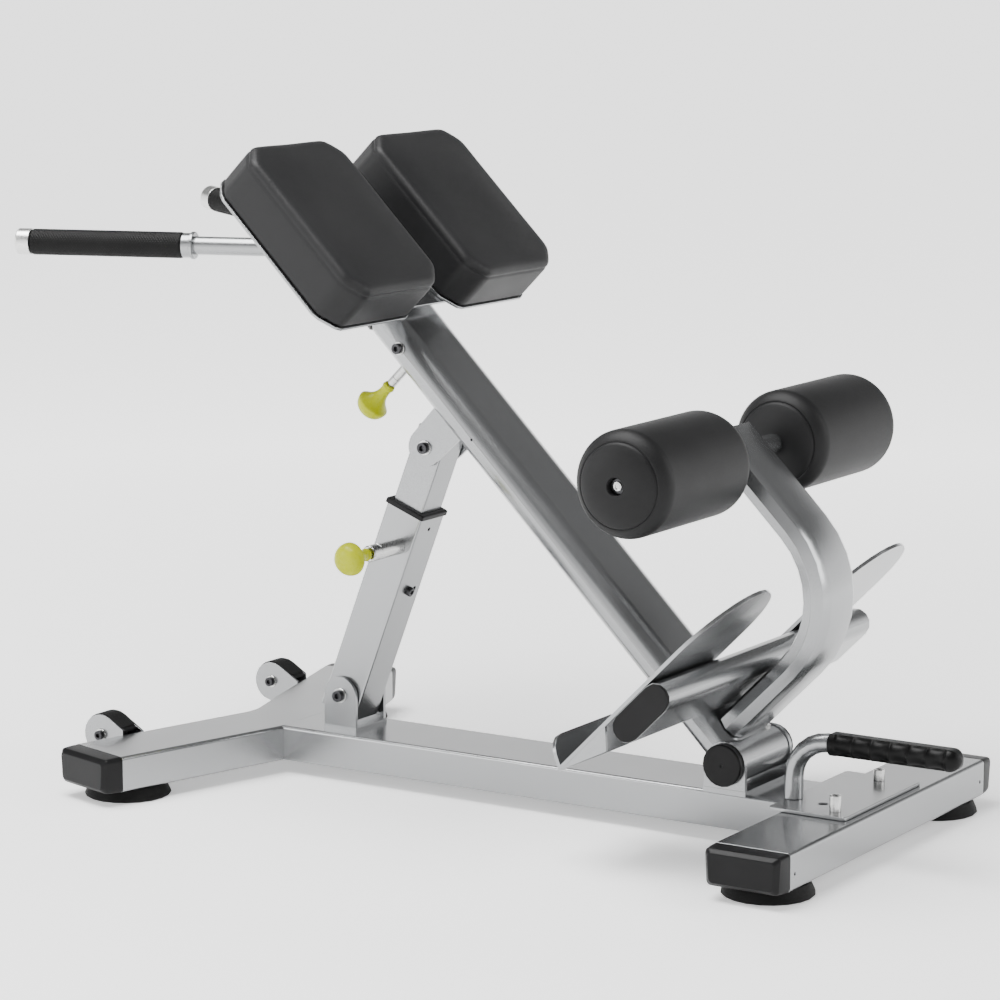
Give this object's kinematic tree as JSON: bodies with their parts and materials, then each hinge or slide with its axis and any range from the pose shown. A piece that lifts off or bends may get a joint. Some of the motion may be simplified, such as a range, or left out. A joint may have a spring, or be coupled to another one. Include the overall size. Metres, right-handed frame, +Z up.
{
  "type": "roman chair",
  "caption": "Adjustable 45 degree back extension bench with a sliding split hip pad, foot rollers, tilted foot plates, a telescopic strut and transport wheels.",
  "frame": {"origin": "centre of the footprint on the floor", "axes": "+X towards the foot end with the rear crossbeam and lift handle, -X towards the head end with the hip pads, +Y to the left of a user who stands on the foot plates and faces the pads, +Z up"},
  "size_m": [1.3789, 0.7124, 0.8977],
  "materials": {
    "frame_paint": "silver grey, glossy metallic",
    "black_plastic": "satin black",
    "black_rubber": "matt black",
    "upholstery": "charcoal, fine grain",
    "lime_plastic": "glossy lime",
    "zinc_steel": "bright zinc",
    "satin_aluminium": "satin"
  },
  "bodies": {
    "base": {"base_front_foot": "frame_paint", "base_rail": "frame_paint", "base_crossbeam": "frame_paint", "front_end_cap_right": "black_plastic", "front_end_cap_left": "black_plastic", "rear_end_cap_right": "black_plastic", "rear_end_cap_left": "black_plastic", "rear_foot_right": "black_rubber", "rear_foot_left": "black_rubber", "front_foot_right": "black_rubber", "front_foot_left": "black_rubber", "joint_plate": "frame_paint", "joint_screw_right": "zinc_steel", "joint_screw_left": "zinc_steel", "lift_handle": "frame_paint", "lift_grip": "black_rubber", "wheel_bracket_right": "frame_paint", "wheel_bracket_left": "frame_paint", "wheel_bolt_right": "zinc_steel", "wheel_bolt_left": "zinc_steel", "fork_bolt": "zinc_steel", "pivot_shaft": "black_plastic", "pivot_cap": "black_plastic"},
    "beam": {"main_beam": "frame_paint", "beam_collar": "black_plastic", "guide_screw_right": "zinc_steel", "guide_screw_left": "zinc_steel", "lug_bolt": "zinc_steel", "foot_tube": "frame_paint", "foot_tube_plug_right": "black_plastic", "foot_tube_plug_left": "black_plastic", "foot_plate_right": "frame_paint", "foot_plate_left": "frame_paint", "roller_arm": "frame_paint", "roller_axle": "zinc_steel", "axle_nut": "zinc_steel", "beam_pin_barrel": "zinc_steel"},
    "strut": {"strut_outer": "frame_paint", "strut_collar": "black_plastic", "strut_stop_screw": "zinc_steel", "strut_pin_barrel": "zinc_steel"},
    "strut_slide": {"strut_inner": "frame_paint"},
    "carriage": {"slide_tube": "frame_paint", "carriage_plate": "frame_paint", "pad_board_right": "frame_paint", "pad_board_left": "frame_paint", "hip_pad_right": "upholstery", "hip_pad_left": "upholstery", "handle_right": "frame_paint", "handle_left": "frame_paint", "grip_right": "black_rubber", "grip_left": "black_rubber", "grip_end_right": "satin_aluminium", "grip_end_left": "satin_aluminium"},
    "strut_lock": {"strut_pin": "lime_plastic"},
    "beam_lock": {"beam_pin": "lime_plastic"},
    "foot_roller_right": {"roller_right": "black_rubber"},
    "foot_roller_left": {"roller_left": "black_rubber"},
    "transport_wheel_right": {"wheel_right": "black_rubber"},
    "transport_wheel_left": {"wheel_left": "black_rubber"}
  },
  "joints": [
    {"name": "beam_fold", "type": "hinge", "parent": "base", "child": "beam", "pos_m": [0.3562, 0, 0.1072], "axis": [0, 1, 0], "range_deg": [-5.5, 8]},
    {"name": "strut_turn", "type": "hinge", "parent": "base", "child": "strut", "pos_m": [-0.2735, 0, 0.118], "axis": [0, 1, 0], "range_deg": [-3, 4.2]},
    {"name": "strut_extend", "type": "slide", "parent": "strut", "child": "strut_slide", "axis": [0.36, 0, 0.933], "range_m": [-0.06, 0.086]},
    {"name": "carriage_slide", "type": "slide", "parent": "beam", "child": "carriage", "axis": [-0.7071, 0, 0.7071], "range_m": [-0.1, 0.05]},
    {"name": "strut_pin_pull", "type": "slide", "parent": "strut", "child": "strut_lock", "axis": [0, -1, 0], "range_m": [0, 0.01], "stiffness_N_per_m": 400, "springref_m": -0.008},
    {"name": "beam_pin_pull", "type": "slide", "parent": "beam", "child": "beam_lock", "axis": [-0.7071, 0, -0.7071], "range_m": [0, 0.01], "stiffness_N_per_m": 400, "springref_m": -0.012},
    {"name": "foot_roller_right_spin", "type": "hinge", "parent": "beam", "child": "foot_roller_right", "pos_m": [0.34276, -0.207, 0.51025], "axis": [0, 1, 0], "continuous": true},
    {"name": "foot_roller_left_spin", "type": "hinge", "parent": "beam", "child": "foot_roller_left", "pos_m": [0.34276, 0.207, 0.51025], "axis": [0, 1, 0], "continuous": true},
    {"name": "wheel_right_spin", "type": "hinge", "parent": "base", "child": "transport_wheel_right", "pos_m": [-0.5545, -0.204, 0.063], "axis": [0, 1, 0], "continuous": true},
    {"name": "wheel_left_spin", "type": "hinge", "parent": "base", "child": "transport_wheel_left", "pos_m": [-0.5545, 0.204, 0.063], "axis": [0, 1, 0], "continuous": true}
  ],
  "couplings": [
    {"joint": "strut_turn", "follows": "beam_fold", "ratio": 0.443},
    {"joint": "strut_extend", "follows": "beam_fold", "m_per_rad": 0.591}
  ]
}
